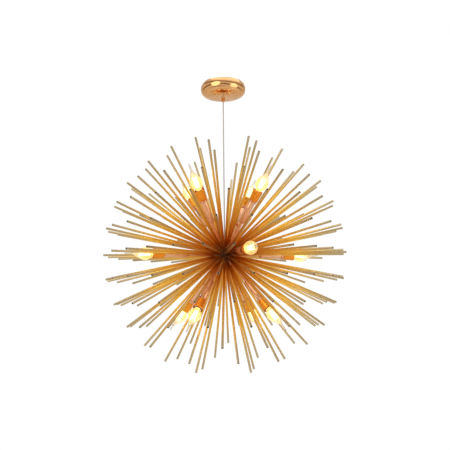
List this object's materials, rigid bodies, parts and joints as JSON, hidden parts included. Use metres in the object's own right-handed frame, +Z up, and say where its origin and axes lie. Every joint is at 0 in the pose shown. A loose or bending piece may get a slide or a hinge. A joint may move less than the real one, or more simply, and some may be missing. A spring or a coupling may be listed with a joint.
{
  "type": "starburst pendant lamp",
  "caption": "Starburst pendant lamp: gold tube rods and candle-bulb arms radiate in rings from a small ball hub on a thin cord below a round ceiling canopy.",
  "frame": {"origin": "on the ceiling, at the centre of the two ceiling screw holes and on the line that the lamp hangs along", "axes": "+Z up, towards the ceiling; -Y is the front; the lamp hangs towards -Z"},
  "size_m": [0.6588, 0.6588, 0.7998],
  "materials": {
    "satin_gold": "satin gold, brushed along the tube",
    "dark_gold": "threaded, satin",
    "polished_gold": "mirror polished",
    "rose_gold": "mirror polished rose gold",
    "cup_gold": "polished, deep orange from the lamp light",
    "black_steel": "blackened",
    "zinc": "zinc plated",
    "nickel": "nickel plated",
    "cord_grey": "translucent grey sheath",
    "wire_sheath": "silicone sheath",
    "white_plastic": "moulded",
    "clear_glass": "clear, lit from inside"
  },
  "bodies": {
    "canopy": {"ceiling_bracket": "zinc", "terminal_block": "white_plastic", "terminal_screws": "zinc", "canopy_cup": "polished_gold", "canopy_screws": "polished_gold", "cord_grip": "polished_gold", "grip_nut": "zinc", "grip_set_screw": "black_steel", "cord_tail": "cord_grey"},
    "flex": {"cord_flex": "cord_grey"},
    "cord": {"cord": "cord_grey", "cord_stop": "nickel"},
    "burst": {"hub_upper": "black_steel", "hub_lower": "black_steel", "hub_gland": "black_steel", "hub_connector": "white_plastic", "studs": "dark_gold", "rods_equator": "satin_gold", "rods_up_12": "satin_gold", "rods_up_24": "satin_gold", "rods_up_36": "satin_gold", "rods_up_48": "satin_gold", "rods_up_cap": "satin_gold", "rods_down_12": "satin_gold", "rods_down_24": "satin_gold", "rods_down_36": "satin_gold", "rods_down_48": "satin_gold", "rods_down_cap": "satin_gold", "lamp_arms": "rose_gold", "lamp_wires": "wire_sheath", "lamp_sleeves": "rose_gold", "lamp_collars": "rose_gold", "collar_screws": "black_steel", "lamp_cups": "cup_gold", "arm_nuts": "zinc", "lamp_holders": "white_plastic"},
    "bulb_01": {"bulb_base_01": "nickel", "bulb_glass_01": "clear_glass"},
    "bulb_02": {"bulb_base_02": "nickel", "bulb_glass_02": "clear_glass"},
    "bulb_03": {"bulb_base_03": "nickel", "bulb_glass_03": "clear_glass"},
    "bulb_04": {"bulb_base_04": "nickel", "bulb_glass_04": "clear_glass"},
    "bulb_05": {"bulb_base_05": "nickel", "bulb_glass_05": "clear_glass"},
    "bulb_06": {"bulb_base_06": "nickel", "bulb_glass_06": "clear_glass"},
    "bulb_07": {"bulb_base_07": "nickel", "bulb_glass_07": "clear_glass"},
    "bulb_08": {"bulb_base_08": "nickel", "bulb_glass_08": "clear_glass"},
    "bulb_09": {"bulb_base_09": "nickel", "bulb_glass_09": "clear_glass"},
    "bulb_10": {"bulb_base_10": "nickel", "bulb_glass_10": "clear_glass"},
    "bulb_11": {"bulb_base_11": "nickel", "bulb_glass_11": "clear_glass"},
    "bulb_12": {"bulb_base_12": "nickel", "bulb_glass_12": "clear_glass"}
  },
  "joints": [
    {"name": "swing_side", "type": "hinge", "parent": "canopy", "child": "flex", "pos_m": [0, 0, -0.053], "axis": [0, 1, 0], "range_deg": [-15, 15]},
    {"name": "swing_front", "type": "hinge", "parent": "flex", "child": "cord", "pos_m": [0, 0, -0.053], "axis": [1, 0, 0], "range_deg": [-15, 15]},
    {"name": "burst_turn", "type": "hinge", "parent": "cord", "child": "burst", "pos_m": [0, 0, -0.485], "axis": [0, 0, 1], "range_deg": [-180, 180]},
    {"name": "bulb_01_unscrew", "type": "hinge", "parent": "burst", "child": "bulb_01", "pos_m": [-0.05962, -0.08206, -0.3363], "axis": [-0.3312, -0.4559, 0.8261], "range_deg": [0, 1440]},
    {"name": "bulb_02_unscrew", "type": "hinge", "parent": "burst", "child": "bulb_02", "pos_m": [0.08206, -0.05962, -0.3363], "axis": [0.4559, -0.3312, 0.8261], "range_deg": [0, 1440]},
    {"name": "bulb_03_unscrew", "type": "hinge", "parent": "burst", "child": "bulb_03", "pos_m": [0.05962, 0.08206, -0.3363], "axis": [0.3312, 0.4559, 0.8261], "range_deg": [0, 1440]},
    {"name": "bulb_04_unscrew", "type": "hinge", "parent": "burst", "child": "bulb_04", "pos_m": [-0.08206, 0.05962, -0.3363], "axis": [-0.4559, 0.3312, 0.8261], "range_deg": [0, 1440]},
    {"name": "bulb_05_unscrew", "type": "hinge", "parent": "burst", "child": "bulb_05", "pos_m": [0.05263, -0.17214, -0.485], "axis": [0.2924, -0.9563, 0], "range_deg": [0, 1440]},
    {"name": "bulb_06_unscrew", "type": "hinge", "parent": "burst", "child": "bulb_06", "pos_m": [0.17214, 0.05263, -0.485], "axis": [0.9563, 0.2924, 0], "range_deg": [0, 1440]},
    {"name": "bulb_07_unscrew", "type": "hinge", "parent": "burst", "child": "bulb_07", "pos_m": [-0.05263, 0.17214, -0.485], "axis": [-0.2924, 0.9563, 0], "range_deg": [0, 1440]},
    {"name": "bulb_08_unscrew", "type": "hinge", "parent": "burst", "child": "bulb_08", "pos_m": [-0.17214, -0.05263, -0.485], "axis": [-0.9563, -0.2924, 0], "range_deg": [0, 1440]},
    {"name": "bulb_09_unscrew", "type": "hinge", "parent": "burst", "child": "bulb_09", "pos_m": [-0.06383, -0.10214, -0.61877], "axis": [-0.3546, -0.5675, -0.7431], "range_deg": [0, 1440]},
    {"name": "bulb_10_unscrew", "type": "hinge", "parent": "burst", "child": "bulb_10", "pos_m": [0.10214, -0.06383, -0.61877], "axis": [0.5675, -0.3546, -0.7431], "range_deg": [0, 1440]},
    {"name": "bulb_11_unscrew", "type": "hinge", "parent": "burst", "child": "bulb_11", "pos_m": [0.06383, 0.10214, -0.61877], "axis": [0.3546, 0.5675, -0.7431], "range_deg": [0, 1440]},
    {"name": "bulb_12_unscrew", "type": "hinge", "parent": "burst", "child": "bulb_12", "pos_m": [-0.10214, 0.06383, -0.61877], "axis": [-0.5675, 0.3546, -0.7431], "range_deg": [0, 1440]}
  ]
}
